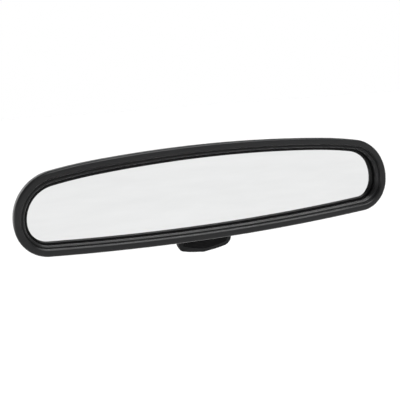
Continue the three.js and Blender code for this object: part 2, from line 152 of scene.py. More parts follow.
# dipping lever, about its pivot with the stem straight down
LEVER_LEAN = math.radians(22)
LEVER_T = 3
STEM_HALF = 12.6
PADDLE_HALF = 18.5
PADDLE_SIDE_END = 18.0
PADDLE_TIP = 24.2
PADDLE_BACK = 4.0
PADDLE_NECK = -13.6  # where the grip and the rear swell begin
THROW = 3.4
PIN_R = 1.5
BORE_R = PIN_R + 0.15


# ---------------------------------------------------------------- outlines


def rounded(corners, closed=True, steps=4):
    """Points of an outline with eased corners. A corner's last number is how far the easing reaches."""
    points = []
    count = len(corners)
    for i, corner in enumerate(corners):
        here, cut = Vector(corner[:-1]), corner[-1]
        if cut == 0 or (not closed and i in (0, count - 1)):
            points.append(here)
            continue
        before = Vector(corners[i - 1][:-1]) - here
        after = Vector(corners[(i + 1) % count][:-1]) - here
        start = here + before * min(0.46, cut / before.length)
        end = here + after * min(0.46, cut / after.length)
        for k in range(steps + 1):
            t = k / steps
            points.append(start * (1 - t) ** 2 + here * 2 * t * (1 - t) + end * t ** 2)
    return points


def flowing(knots, steps=5):
    """A smooth line through every knot."""
    knots = [Vector(k) for k in knots]
    line = []
    for i in range(len(knots) - 1):
        a, b = knots[i], knots[i + 1]
        before = knots[max(i - 1, 0)]
        after = knots[min(i + 2, len(knots) - 1)]
        for k in range(steps):
            t = k / steps
            line.append(
                0.5 * (2 * a + (b - before) * t + (2 * before - 5 * a + 4 * b - after) * t ** 2
                       + (3 * a - before - 3 * b + after) * t ** 3)
            )
    line.append(knots[-1])
    return line


def arc(radius, start, end, steps):
    """[radius, depth] points on a circle, with angles from the +Y axis in degrees."""
    angles = [math.radians(start + (end - start) * i / steps) for i in range(steps + 1)]
    return [Vector((radius * math.sin(a), radius * math.cos(a))) for a in angles]


def outline_arcs():
    """The right half of the head's outline as (radius, centre x, centre z, from, to, steps)."""
    s1, s3 = math.sin(SHOULDER_START), math.sin(CORNER_CHANGE)
    s2 = (HALF_LENGTH - UPPER_CORNER_R - (TOP_ARC_R - SHOULDER_R) * s1) / (SHOULDER_R - UPPER_CORNER_R)
    reach = TOP_ARC_R * s1 + SHOULDER_R * (s2 - s1) + UPPER_CORNER_R * (s3 - s2) - LOWER_CORNER_R * s3
    last_turn = math.pi - math.asin(reach / (BOTTOM_ARC_R - LOWER_CORNER_R))
    radii = (TOP_ARC_R, SHOULDER_R, UPPER_CORNER_R, LOWER_CORNER_R, BOTTOM_ARC_R)
    turns = (0, SHOULDER_START, math.asin(s2), CORNER_CHANGE, last_turn, math.pi)
    height = sum(r * (math.cos(turns[i]) - math.cos(turns[i + 1])) for i, r in enumerate(radii))
    x, z = 0, height / 2
    arcs = []
    for i, r in enumerate(radii):
        centre_x, centre_z = x - r * math.sin(turns[i]), z - r * math.cos(turns[i])
        arcs.append((r, centre_x, centre_z, turns[i], turns[i + 1], ARC_STEPS[i]))
        x, z = centre_x + r * math.sin(turns[i + 1]), centre_z + r * math.cos(turns[i + 1])
    return arcs


ARCS = outline_arcs()


def ring(inset, depth, end_draw=0, scale=1):
    """One loop round the head at a depth, drawn in by inset all round and by end_draw more at the ends."""
    right = []
    for r, centre_x, centre_z, start, end, steps in ARCS:
        for i in range(steps):
            angle = start + (end - start) * i / steps
            x, z = centre_x + (r - inset) * math.sin(angle), centre_z + (r - inset) * math.cos(angle)
            right.append((x, z))
    right[0] = (0, right[0][1])
    r, _, centre_z, *_ = ARCS[-1]
    bottom = (0, centre_z - (r - inset))
    left = [(-x, z) for x, z in reversed(right[1:])]
    reach = scale * (1 - end_draw / HALF_LENGTH)
    return [Vector((x * reach, depth, z * scale)) for x, z in [*right, bottom, *left]]


# ---------------------------------------------------------------- meshes


class Shape:
    """Closed shells in millimetres, gathered before they become one mesh."""

    def __init__(self):
        self.points = []
        self.faces = []

    def skin(self, rings, closed=False, capped=False):
        """Faces between loops of equally many points, joined end to end or capped."""
        start, count = len(self.points), len(rings[0])
        for loop in rings:
            self.points.extend(loop)
        bands = len(rings) if closed else len(rings) - 1
        for k in range(bands):
            a, b = start + k * count, start + (k + 1) % len(rings) * count
            for i in range(count):
                j = (i + 1) % count
                self.faces.append((a + i, b + i, b + j, a + j))
        if capped:
            for base in (start, start + (len(rings) - 1) * count):
                self.faces.append(tuple(range(base, base + count)))
        return self

    def turned(self, profile, steps=72, reach=None, closed=False):
        """A piece turned about the Y axis. reach(radius, depth, angle) may change the radius."""
        rings = []
        for r, y in profile:
            loop = []
            for i in range(steps):
                angle = TURN * i / steps
                out = reach(r, y, angle) if reach else r
                loop.append(Vector((out * math.sin(angle), y, out * math.cos(angle))))
            rings.append(loop)
        return self.skin(rings, closed=closed)

    def rod(self, radius, low, high, sides, ease=None, detail=3):
        """A round bar along the Y axis. Its rims are eased when ease is given."""
        profile = [(0, low), (radius, low), (radius, high), (0, high)]
        if ease is not None:
            corners = [(*p, e) for p, e in zip(profile, (0, ease, ease, 0))]
            profile = rounded(corners, closed=False, steps=detail)
        return self.turned(profile, sides)

    def box(self, x0, x1, y0, y1, z0, z1, ease=0.3):
        """A block with eased edges."""
        rings = []
        for y, inset in ((y0, ease), (y0 + ease, 0), (y1 - ease, 0), (y1, ease)):
            corners = [(x0 + inset, z0 + inset, ease), (x1 - inset, z0 + inset, ease),
                       (x1 - inset, z1 - inset, ease), (x0 + inset, z1 - inset, ease)]
            rings.append([Vector((x, y, z)) for x, z in rounded(corners, steps=3)])
        return self.skin(rings, capped=True)

    def moved(self, matrix):
        self.points = [matrix @ Vector(p) for p in self.points]
        return self


def build(name, shape):
    """A Blender mesh object from a shape, with doubled points joined and faces turned outwards."""
    mesh = bpy.data.meshes.new(name)
    mesh.from_pydata([tuple(Vector(p) * MM) for p in shape.points], [], shape.faces)
    work = bmesh.new()
    work.from_mesh(mesh)
    bmesh.ops.remove_doubles(work, verts=work.verts, dist=2e-6)
    bmesh.ops.dissolve_degenerate(work, edges=work.edges, dist=1e-6)
    bmesh.ops.recalc_face_normals(work, faces=work.faces)
    work.to_mesh(mesh)
    work.free()
    obj = bpy.data.objects.new(name, mesh)
    bpy.context.scene.collection.objects.link(obj)
    return obj


def combine(base, others, operation):
    """Joins or cuts with other objects, which are then removed."""
    for other in others:
        change = base.modifiers.new("combine", "BOOLEAN")
        change.operation = operation
        change.solver = "EXACT"
        change.object = other
        bpy.context.view_layer.update()
        result = bpy.data.meshes.new_from_object(base.evaluated_get(bpy.context.evaluated_depsgraph_get()))
        base.modifiers.clear()
        base.data = result
        bpy.data.objects.remove(other)
    return base


def finish_piece(obj, look, body, stands_for, crease=35):
    """Smooths, paints and hangs a piece on its body."""
    mesh = obj.data
    mesh.shade_smooth()
    mesh.set_sharp_from_angle(angle=math.radians(crease))
    mesh.materials.clear()
    mesh.materials.append(look)
    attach(obj, body)
    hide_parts(stands_for)
    return obj


IN_HEAD = Matrix.Translation(BALL)
ON_PIVOT = Matrix.Translation(BALL + PIVOT) @ Matrix.Rotation(LEVER_LEAN, 4, "X")
ALONG_X = Matrix.Rotation(-math.pi / 2, 4, "Z")


# ---------------------------------------------------------------- materials


class Nodes:
    """Short calls for the nodes of one material."""

    def __init__(self, name):
        self.material = bpy.data.materials.new(name)
        self.material.use_nodes = True
        self.tree = self.material.node_tree
        self.shader = next(n for n in self.tree.nodes if n.type == "BSDF_PRINCIPLED")
        self.place = self.add("ShaderNodeTexCoord").outputs["Object"]

    def add(self, kind, **settings):
        node = self.tree.nodes.new(kind)
        for key, value in settings.items():
            setattr(node, key, value)
        return node

    def link(self, source, target):
        self.tree.links.new(source, target)

    def stretched(self, scale):
        mapping = self.add("ShaderNodeMapping")
        self.link(self.place, mapping.inputs["Vector"])
        mapping.inputs["Scale"].default_value = scale
        return mapping.outputs["Vector"]

    def noise(self, size_mm, detail=3, place=None, rough=0.55):
        node = self.add("ShaderNodeTexNoise")
        self.link(place or self.place, node.inputs["Vector"])
        node.inputs["Scale"].default_value = 1 / (size_mm * MM)
        node.inputs["Detail"].default_value = detail
        node.inputs["Roughness"].default_value = rough
        return node.outputs["Fac"]

    def cells(self, size_mm):
        node = self.add("ShaderNodeTexVoronoi", feature="SMOOTH_F1")
        self.link(self.place, node.inputs["Vector"])
        node.inputs["Scale"].default_value = 1 / (size_mm * MM)
        return node.outputs["Distance"]

    def spread(self, value, low, high, start=0.3, end=0.7):
        node = self.add("ShaderNodeMapRange")
        self.link(value, node.inputs["Value"])
        for key, number in (("From Min", start), ("From Max", end), ("To Min", low), ("To Max", high)):
            node.inputs[key].default_value = number
        return node.outputs["Result"]

    def math(self, operation, a, b):
        node = self.add("ShaderNodeMath", operation=operation)
        for socket, value in zip(node.inputs, (a, b)):
            if isinstance(value, (int, float)):
                socket.default_value = value
            else:
                self.link(value, socket)
        return node.outputs["Value"]

    def blend(self, amount, a, b):
        node = self.add("ShaderNodeMix", data_type="RGBA")
        self.link(amount, node.inputs["Factor"])
        for key, value in (("A", a), ("B", b)):
            socket = next(s for s in node.inputs if s.name == key and s.type == "RGBA")
            if isinstance(value, tuple):
                socket.default_value = (*value, 1)
            else:
                self.link(value, socket)
        return next(s for s in node.outputs if s.type == "RGBA")

    def bump(self, height, strength, depth_mm):
        node = self.add("ShaderNodeBump")
        node.inputs["Strength"].default_value = strength
        node.inputs["Distance"].default_value = depth_mm * MM
        self.link(height, node.inputs["Height"])
        self.link(node.outputs["Normal"], self.shader.inputs["Normal"])


def plastic(name, dark, light, roughness, grain_mm, depth_mm, specular=0.4, cell_mm=None, matt=None):
    """Moulded plastic: slow colour drift, fine grain, rubbed patches and a few pale specks of dust.

    cell_mm adds a leather-like texture, and matt gives the depths over which painted shade turns the colour
    darker and the gloss lower, deeper in being darker.
    """
    n = Nodes(name)
    drift = n.spread(n.noise(38, 2), 0, 1)
    grain = n.noise(grain_mm, 4)
    mix = n.math("ADD", n.math("MULTIPLY", drift, 0.6), n.math("MULTIPLY", grain, 0.5))
    colour = n.blend(mix, dark, light)
    speck = n.spread(n.noise(0.9, 1), 0, 0.5, 0.74, 0.82)
    dusty = tuple(min(1, 4 * c + 0.02) for c in light)
    colour = n.blend(speck, colour, dusty)
    # painted shade: deeper in the rim's recess the colour falls to half and the specular level drops,
    # standing in for shadow
    if matt:
        split = n.add("ShaderNodeSeparateXYZ")
        n.link(n.place, split.inputs["Vector"])
        inner = n.spread(split.outputs["Y"], 0, 1, *matt)
        colour = n.blend(inner, colour, tuple(0.5 * c for c in dark))
        n.link(n.spread(inner, specular, 0.16, 0, 1), n.shader.inputs["Specular IOR Level"])
    n.link(colour, n.shader.inputs["Base Color"])
    rubbed = n.spread(n.noise(9, 3), roughness - 0.07, roughness + 0.07)
    n.link(n.math("ADD", rubbed, n.math("MULTIPLY", grain, 0.05)), n.shader.inputs["Roughness"])
    height = grain
    if cell_mm:
        height = n.math("ADD", n.math("MULTIPLY", grain, 0.4), n.cells(cell_mm))
    n.bump(height, 0.5, depth_mm)
    if not matt:
        n.shader.inputs["Specular IOR Level"].default_value = specular
    return n.material


def metal(name, dark, light, roughness, stretch=(1, 1, 1), grain_mm=0.5, depth_mm=0.01, metallic=1.0):
    """Metal with tool marks drawn along one way, cloudy tarnish and uneven polish."""
    n = Nodes(name)
    marks = n.noise(grain_mm, 5, n.stretched(stretch), 0.65)
    cloud = n.noise(4, 3)
    shade = n.math("ADD", n.math("MULTIPLY", n.spread(cloud, 0, 1), 0.6), n.math("MULTIPLY", marks, 0.4))
    n.link(n.blend(shade, dark, light), n.shader.inputs["Base Color"])
    polish = n.spread(cloud, roughness - 0.06, roughness + 0.08)
    n.link(n.math("ADD", polish, n.math("MULTIPLY", marks, 0.1)), n.shader.inputs["Roughness"])
    n.bump(marks, 0.5, depth_mm)
    n.shader.inputs["Metallic"].default_value = metallic
    return n.material


def mirror_glass():
    """Silvered glass: nearly perfect mirror with faint wiping marks and a trace of dust."""
    n = Nodes("silvered_glass")
    wipe = n.noise(7, 4, n.stretched((0.25, 1, 1.6)), 0.6)
    dust = n.spread(n.noise(0.7, 2), 0, 1, 0.72, 0.8)
    n.link(n.blend(n.spread(wipe, 0, 1), GLASS_DARK, GLASS_LIGHT), n.shader.inputs["Base Color"])
    haze = n.math("ADD", n.spread(wipe, 0.0, 0.02, 0.5, 0.8), n.math("MULTIPLY", dust, 0.02))
    n.link(haze, n.shader.inputs["Roughness"])
    n.shader.inputs["Metallic"].default_value = 1.0
    return n.material


def soft_black(name, dark, light, cell_mm, depth_mm, specular=0.3):
    """Rubber or foam: dull, with open cells or a fine moulded skin."""
    n = Nodes(name)
    cells = n.cells(cell_mm)
    mix = n.math("ADD", n.math("MULTIPLY", cells, 0.6), n.math("MULTIPLY", n.noise(6, 3), 0.5))
    n.link(n.blend(mix, dark, light), n.shader.inputs["Base Color"])
    n.link(n.spread(n.noise(3, 3), 0.78, 0.95), n.shader.inputs["Roughness"])
    n.bump(cells, 0.6, depth_mm)
    n.shader.inputs["Specular IOR Level"].default_value = specular
    return n.material


GLASS_DARK = (0.755, 0.76, 0.76)
GLASS_LIGHT = (0.78, 0.785, 0.785)
BLACKENED = 0.85  # how far a blackened surface still counts as metal
PAINTED_SHADE_DEPTHS = ((BALL.y - 21.4) * MM, (BALL.y - 19.6) * MM)  # painted shade: the rim's inner slope turns darker and less glossy towards the glass

LOOKS = {
    "bezel": plastic("bezel_plastic", (0.005, 0.0051, 0.0055), (0.009, 0.0092, 0.0098), 0.33, 0.35, 0.008,
                     0.27, matt=PAINTED_SHADE_DEPTHS),
    "shell": plastic("shell_plastic", (0.011, 0.0112, 0.012), (0.020, 0.0205, 0.022), 0.46, 0.3, 0.03, 0.45,
                     cell_mm=0.75),
    "foot": plastic("foot_plastic", (0.012, 0.012, 0.013), (0.024, 0.0245, 0.026), 0.42, 0.3, 0.02, 0.5),
    "lever": plastic("lever_plastic", (0.003, 0.0031, 0.0034), (0.006, 0.0062, 0.0068), 0.5, 0.3, 0.015,
                     0.15),
    "grip": soft_black("grip_rubber", (0.0025, 0.0025, 0.0027), (0.006, 0.006, 0.0064), 0.5, 0.02, 0.12),
    "gasket": soft_black("gasket_rubber", (0.006, 0.006, 0.006), (0.016, 0.016, 0.016), 0.35, 0.02),
    "foam": soft_black("foam_cells", (0.006, 0.006, 0.0065), (0.030, 0.030, 0.032), 0.9, 0.12),
    "liner": plastic("acetal", (0.62, 0.59, 0.50), (0.76, 0.74, 0.66), 0.42, 0.3, 0.006, 0.5),
    "cast": metal("zinc_casting", (0.20, 0.205, 0.215), (0.34, 0.345, 0.355), 0.5, grain_mm=0.6,
                  depth_mm=0.05),
    "plate": metal("zinc_plate", (0.26, 0.265, 0.27), (0.42, 0.425, 0.43), 0.38, (1, 6, 1), 0.5, 0.02),
    "ball": metal("turned_steel", (0.40, 0.405, 0.415), (0.60, 0.605, 0.61), 0.2, (1, 9, 1), 0.5, 0.006),
    "pin": metal("ground_steel", (0.42, 0.425, 0.43), (0.62, 0.625, 0.63), 0.22, (9, 1, 1), 0.4, 0.006),
    "leaf": metal("spring_steel", (0.28, 0.285, 0.30), (0.46, 0.465, 0.48), 0.28, (9, 1, 1), 0.4, 0.006),
    "screw": metal("zinc_screw", (0.34, 0.345, 0.36), (0.56, 0.56, 0.58), 0.3, (1, 5, 1), 0.3, 0.01),
    "coil": metal("blackened_wire", (0.012, 0.012, 0.013), (0.045, 0.045, 0.048), 0.36, (1, 3, 1), 0.3, 0.01,
                  BLACKENED),
    "washer": metal("blackened_steel", (0.020, 0.020, 0.021), (0.060, 0.058, 0.056), 0.34, grain_mm=0.4,
                    depth_mm=0.012, metallic=BLACKENED),
    "bolt": metal("copper_flash", (0.11, 0.056, 0.034), (0.26, 0.145, 0.095), 0.38, (1, 6, 1), 0.35, 0.015),
    "silver": metal("silver_paint", (0.32, 0.33, 0.34), (0.5, 0.51, 0.52), 0.4, (2, 1, 2), 0.5, 0.006),
}
LOOKS["glass"] = mirror_glass()


# ---------------------------------------------------------------- head


def window(loop, inset):
    """Turns and shifts the rim's inner steps a little, as the opening isn't quite square to the outline."""
    share = max(0.0, min(1.0, (inset - WINDOW_START) / WINDOW_BLEND))
    return [p + share * Vector((WINDOW_SHIFT_X - WINDOW_NARROW * p.x, 0, WINDOW_TURN * p.x - WINDOW_DROP))
            for p in loop]


def make_bezel():
    """Rim: skirt, rounded edge, flat face, two beads on the inner slope, lip over the glass."""
    # inset, depth, extra inset at the ends, easing
    corners = [
        (0.5, -17.0, 1.0, 0.12), (0.2, -20.5, 0.6, 1.0), (0.0, FACE, 0.0, 2.1),
        (4.15, FACE + 0.1, 0.0, 1.0), (4.75, -23.0, 0.0, 0.2), (5.1, -22.95, 0.0, 0.15),
        (5.5, -23.35, 0.0, 0.35), (6.5, -22.3, 0.0, 0.5), (6.6, -18.65, 0.0, 0.12),
        (7.35, -18.65, 0.0, 0.1), (7.5, -19.2, 0.0, 0.2), (8.4, -18.6, 0.0, 0.14),
        (8.4, -18.12, 0.0, 0.05), (6.3, -18.12, 0.0, 0), (6.3, -16.1, 0.0, 0.1),
        (5.0, -16.1, 0.0, 0.1), (5.0, -19.6, 0.0, 0.2), (3.9, -22.2, 0.3, 0.2),
        (2.6, -22.6, 0.4, 0.2), (2.5, -17.0, 0.4, 0.1),
    ]
    rings = [window(ring(u, y, draw), u) for u, y, draw in rounded(corners, steps=5)]
    shape = Shape().skin(rings, closed=True).moved(IN_HEAD)
    return finish_piece(build("rim", shape), LOOKS["bezel"], "head", "bezel")


def make_shell():
    """Back housing: a soft crown with a dished ring round the ball's hole, inner ledge and tongue."""
    # inset, depth, extra inset at the ends, share of the full outline
    outside = flowing([(0.55, -15.6, 1.1, 1), (1.2, -11, 3, 1), (2.2, -6, 5.2, 1), (3.8, -1.5, 7.5, 1),
                       (6.4, 2.5, 10, 1), (9.8, 5.2, 13, 1), (14.2, 6.9, 17, 1)])
    crown = flowing([(14.2, 6.9, 17, 1), (14.2, 7.45, 17, 0.8), (14.2, 7.78, 17, 0.55),
                     (14.2, 7.93, 17, 0.3)], 4)
    inside = [(16, 5.2, 19, 1), (11.6, 3.6, 15.5, 1), (8.3, 1.1, 12, 1), (5.8, -2.4, 9.6, 1),
              (4.2, -6.2, 7.4, 1), (3.5, -9.5, 5.5, 1), (8.4, -9.5, 0.6, 1), (8.4, -10.7, 0.6, 1),
              (4.4, -10.7, 0.6, 1), (4.4, -19.2, 0.4, 1), (2.8, -19.2, 0.4, 1), (2.8, -16.7, 0.4, 1),
              (0.75, -16.7, 1.0, 1)]
    under_crown = [(16, 6, 19, 0.06), (16, 5.95, 19, 0.3), (16, 5.8, 19, 0.6)]
    lines = [*under_crown, *inside, *outside, *crown[1:], (14.2, 8, 17, 0.06)]
    shape = Shape().skin([ring(u, y, draw, scale) for u, y, draw, scale in lines], capped=True)
    shell = build("housing", shape.moved(IN_HEAD))
    hole_line = [(0, 2), (BACK_HOLE_R, 2), (BACK_HOLE_R, 7.0), (BACK_HOLE_R + 1.2, 8.4), (0, 8.4)]
    hole = Shape().turned(hole_line, 96)
    slot = Shape().box(-13.3, 13.3, PIVOT.y - 4.8, PIVOT.y + 6, -32, PIVOT.z - 0.6, ease=0.5)
    cutters = [build("cut", s.moved(IN_HEAD)) for s in (hole, slot)]
    combine(shell, cutters, "DIFFERENCE")
    for side in (-1, 1):
        hinge_x, pivot_x = side * 10.25, side * 15.3
        lugs = [
            Shape().box(hinge_x - 1.75, hinge_x + 1.75, HINGE.y - 3.2, 3.4, HINGE.z - 3.4, HINGE.z + 3.4,
                        ease=0.4),
            Shape().box(pivot_x - 1.7, pivot_x + 1.7, PIVOT.y - 3, PIVOT.y + 3, -24.3, PIVOT.z + 2.6,
                        ease=0.4),
        ]
        combine(shell, [build("lug", s.moved(IN_HEAD)) for s in lugs], "UNION")
    boss = Shape().turned([(0, 1.3), (2.1, 1.3), (2.4, 1.6), (2.4, 5.4), (0, 5.4)], 32)
    combine(shell, [build("boss", boss.moved(IN_HEAD @ Matrix.Translation(LEAF_SCREW)))], "UNION")
    holes = []
    for y, z in ((HINGE.y, HINGE.z), (PIVOT.y, PIVOT.z)):
        bore = Shape().rod(BORE_R, -20, 20, 32).moved(ALONG_X)
        holes.append(build("cut", bore.moved(IN_HEAD @ Matrix.Translation((0, y, z)))))
    combine(shell, holes, "DIFFERENCE")
    return finish_piece(shell, LOOKS["shell"], "head", "shell", crease=32)


def make_glass():
    """Wedge of silvered glass with a ground edge, thicker at the top."""
    half = 22

    def back(z):
        return GLASS_FRONT + GLASS_EDGE_LOW + GLASS_WEDGE * (z + half) / (2 * half)

    front = [ring(GLASS_INSET + 0.25, GLASS_FRONT), ring(GLASS_INSET, GLASS_FRONT + 0.25)]
    rear = [[Vector((p.x, back(p.z) - 0.25, p.z)) for p in ring(GLASS_INSET, 0)],
            [Vector((p.x, back(p.z), p.z)) for p in ring(GLASS_INSET + 0.25, 0)]]
    shape = Shape().skin([*front, *rear], capped=True).moved(IN_HEAD)
    return finish_piece(build("mirror_glass", shape), LOOKS["glass"], "head", "glass", crease=20)


# ---------------------------------------------------------------- foot and its spring hook


def make_foot():
    """Round flange with a ring groove, dome and toothed boss."""

    def toothed(r, y, angle):
        if r < 7.5 or not 7.0 <= y <= 12.0:
            return r
        wave = math.cos(TOOTH_COUNT * angle)
        notch = max(0.0, min(1.0, (-wave - 0.45) / 0.35))
        return r - notch * min(1.1, max(0.0, r - 8.6))

    neck_hole = 4.3
    # radius, depth, easing
    corners = [
        (neck_hole, 5, 0.1), (neck_hole, -FLANGE_T - 1.2, 0.3), (7, -FLANGE_T - 1.2, 0.3),
        (7.8, -FLANGE_T, 0.4), (FLANGE_R, -FLANGE_T, 0.9), (FLANGE_R, 0, 0.7), (18.9, 0, 0.15),
        (18.9, -1, 0.1), (DOME_R + 0.2, -1, 0.1), (DOME_R + 0.2, 0.1, 0.3), (15.0, 3.1, 1.6),
        (11.6, 5.3, 1.6), (7.7, 6.4, 0.8), (7.7, 7.5, 0.4), (BOSS_R, 8.3, 0.3), (BOSS_R, 10.1, 0.4),
        (5.9, BOSS_TOP, 0.3), (BOLT_HOLE_R, BOSS_TOP, 0.2), (BOLT_HOLE_R, 7.5, 0.1), (0, 7.5, 0),
    ]
    profile = [Vector((0, 5)), *rounded([(0, 5, 0), *corners], closed=False, steps=3)]
    shape = Shape().turned(profile, steps=180, reach=toothed)
    return finish_piece(build("foot", shape), LOOKS["foot"], "mount", "mount_foot", crease=30)


def turned_piece(name, corners, look, body, node, place=None, steps=72, closed=False, detail=3, crease=32):
    """A turned piece from eased corners, put in place and hung on its body."""
    points = rounded(corners, closed=closed, steps=detail)
    shape = Shape().turned(points, steps, closed=closed)
    if place is not None:
        shape.moved(place)
    return finish_piece(build(name, shape), LOOKS[look], body, node, crease=crease)


def make_foot_fittings():
    """Rubber ring in the flange, neck pin of the ball, and the washer on the bolt."""
    gasket = [(DOME_R + 0.5, -0.7, 0.1), (18.6, -0.7, 0.1), (18.6, 0.35, 0.3), (17.6, 0.7, 0.4),
              (DOME_R + 0.5, 0.35, 0.2)]
    turned_piece("ring_gasket", gasket, "gasket", "mount", "foot_gasket", closed=True, steps=96)
    neck = [(0, 4.6, 0), (3.9, 4.6, 0.3), (4, 4, 0.2), (4, BALL.y + 11, 0.8), (2.9, BALL.y + 8, 0.8),
            (2.9, BALL.y + 6.3, 0.1), (2.6, BALL.y + 6.2, 0.1), (2.6, BALL.y - 2, 0.3), (0, BALL.y - 2, 0)]
    turned_piece("neck_pin", neck, "pin", "mount", "foot_neck")
    washer = [(BOLT_HOLE_R, WASHER_LOW, 0.15), (WASHER_R, WASHER_LOW, 0.3), (WASHER_R, WASHER_TOP, 0.4),
              (BOLT_HOLE_R, WASHER_TOP, 0.15)]
    turned_piece("slide_washer", washer, "washer", "washer", "spring_washer", closed=True, steps=96)


def make_bolt():
    """Shank and button head with a six-sided key socket."""
    socket_r = 2.3

    def hexed(r, y, angle):
        if y < BOLT_HEAD_LOW + 1.5 or r > socket_r + 0.05 or r < 0.1:
            return r
        sector = (angle % (TURN / 6)) - TURN / 12
        return r * math.cos(TURN / 12) / math.cos(sector)

    shank_r, head_r = 2.6, 5.25
    corners = [
        (0, 7.9, 0), (2.2, 7.9, 0.3), (shank_r, 8.4, 0.3), (shank_r, BOLT_HEAD_LOW, 0.2),
        (head_r, BOLT_HEAD_LOW, 0.4), (head_r, BOLT_HEAD_LOW + 2.1, 0.8), (3.9, BOLT_HEAD_LOW + 3.25, 0.6),
        (socket_r, BOLT_HEAD_LOW + 3.3, 0.1), (socket_r - 0.05, BOLT_HEAD_LOW + 1.6, 0.05),
        (0, BOLT_HEAD_LOW + 1.6, 0),
    ]
    shape = Shape().turned(rounded(corners, closed=False, steps=4), steps=96, reach=hexed)
    return finish_piece(build("hook_bolt", shape), LOOKS["bolt"], "mount", "keyhole_bolt", crease=30)


def make_spring():
    """Open coil with closed, flattened end turns."""
    turns, per_turn, sides = 5.6, 44, 14
    low, top = COIL_LOW + WIRE_R, COIL_TOP - WIRE_R
    wire = 2 * WIRE_R
    steps = round(turns * per_turn)
    rings = []
    for i in range(steps + 1):
        turn = turns * i / steps
        open_share = (min(max(turn - 0.7, 0), turns - 1.4)) / (turns - 1.4)
        climb = wire * 0.55 * (min(turn, 0.7) / 0.7 + max(turn - turns + 0.7, 0) / 0.7)
        depth = low + climb + (top - low - 1.1 * wire) * open_share
        angle = TURN * turn
        out = Vector((math.sin(angle), 0, math.cos(angle)))
        taper = 1 - 0.55 * max(0, 1 - turn / 0.35) - 0.55 * max(0, 1 - (turns - turn) / 0.35)
        loop = []
        for k in range(sides):
            a = TURN * k / sides
            rise = Vector((0, depth + WIRE_R * taper * math.sin(a), 0))
            loop.append(out * (COIL_R + WIRE_R * math.cos(a)) + rise)
        rings.append(loop)
    spring = finish_piece(build("coil_spring", Shape().skin(rings, capped=True)), LOOKS["coil"], "mount",
                          "tension_spring")
    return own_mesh(spring)


# ---------------------------------------------------------------- ball joint


def screw_spots():
    """Places of the three clamp screws round the ball."""
    angles = [math.radians(a) for a in (30, 150, 270)]
    return [Vector((SCREW_CIRCLE_R * math.cos(a), 0, SCREW_CIRCLE_R * math.sin(a))) for a in angles]


def make_ball_joint():
    """Steel ball, its plastic liner, and the clamp plate that closes the socket round them."""
    ball = [*arc(BALL_R, 180, 28, 40), Vector((2.9, 5.2)), Vector((2.9, -2.3)), Vector((0, -2.3))]
    shape = Shape().turned(ball, 72).moved(IN_HEAD)
    finish_piece(build("steel_ball", shape), LOOKS["ball"], "ball", "pivot_ball")
    liner = [*arc(LINER_OUT_R, 180, 66, 28), *arc(LINER_IN_R, 66, 180, 28)]
    shape = Shape().turned(liner, 72).moved(IN_HEAD)
    finish_piece(build("ball_cup_liner", shape), LOOKS["liner"], "liner", "ball_liner")
    bore = [(*p, 0) for p in arc(SOCKET_R, 64.6, 88.9, 8)]
    plate = [*bore, (PLATE_R, 0.15, 0.2), (PLATE_R, 1.5, 0.4), (9.3, 1.5, 0.3), (8.9, 3.3, 0.3)]
    shape = Shape().turned(rounded(plate, steps=3), 96, closed=True)
    clamp = build("socket_clamp", shape.moved(IN_HEAD))
    drills = [Shape().rod(1.6, -1, 3, 24).moved(IN_HEAD @ Matrix.Translation(s)) for s in screw_spots()]
    combine(clamp, [build("cut", s) for s in drills], "DIFFERENCE")
    finish_piece(clamp, LOOKS["plate"], "bracket", "clamp_plate")


def make_bracket():
    """Cast socket with the dipping hinge above it and a forked lug for the lever below."""
    cup = [*arc(CUP_R, 180, 104, 20), Vector((PLATE_R, -2.4)), Vector((PLATE_R, -0.15)),
           *arc(SOCKET_R, 91.1, 180, 24)]
    bracket = build("socket_casting", Shape().turned(cup, 72).moved(IN_HEAD))
    blocks = [
        Shape().rod(3.1, -8, 8, 40, ease=0.4).moved(Matrix.Translation(HINGE) @ ALONG_X),
        Shape().box(-8, 8, -2.4, -0.15, 9, 15.2),
        Shape().box(-4.4, 4.4, -8.4, -0.3, -14.3, -9.3),
        Shape().box(-4.4, 4.4, -8.4, -7.2, -17.6, -14),
        Shape().box(-4.4, 4.4, -4.35, -3.15, -17.6, -14),
    ]
    for spot in screw_spots():
        if spot.z > 0:
            post = [(0, -6.6, 0), (2.5, -6.6, 0.4), (2.5, -1, 0), (0, -1, 0)]
            shape = Shape().turned(rounded(post, closed=False, steps=3), 28)
            blocks.append(shape.moved(Matrix.Translation(spot)))
    combine(bracket, [build("add", s.moved(IN_HEAD)) for s in blocks], "UNION")
    bores = [Shape().rod(BORE_R, -9, 9, 28).moved(Matrix.Translation(HINGE) @ ALONG_X)]
    for spot in screw_spots():
        bores.append(Shape().rod(1.5, -6, 1, 24).moved(Matrix.Translation(spot)))
    combine(bracket, [build("cut", s.moved(IN_HEAD)) for s in bores], "DIFFERENCE")
    return finish_piece(bracket, LOOKS["cast"], "bracket", "joint_bracket")


def small_screw(name, tip, shoulder, top, body, node, place, shank=1.3, head=1.9):
    """Pan-head screw with a thread cut round its shank and a round socket."""
    way = 1 if top > tip else -1
    profile = [(0, tip), (shank * 0.7, tip), (shank, tip + way * 0.5)]
    pitch, thread_depth = 0.5, 0.16
    crests = int(abs(shoulder - tip - way * 0.5) / pitch)
    for i in range(crests):
        start = tip + way * (0.5 + pitch * i)
        profile += [(shank, start + way * 0.1), (shank - thread_depth, start + way * 0.3),
                    (shank, start + way * 0.5)]
    profile += [(shank, shoulder), (head, shoulder), (head, shoulder + way * 0.5), (head * 0.8, top),
                (0.95, top), (0.85, top - way * 0.5), (0, top - way * 0.5)]
    shape = Shape().turned([Vector(p) for p in profile], 36).moved(place)
    return finish_piece(build(name, shape), LOOKS["screw"], body, node, crease=30)


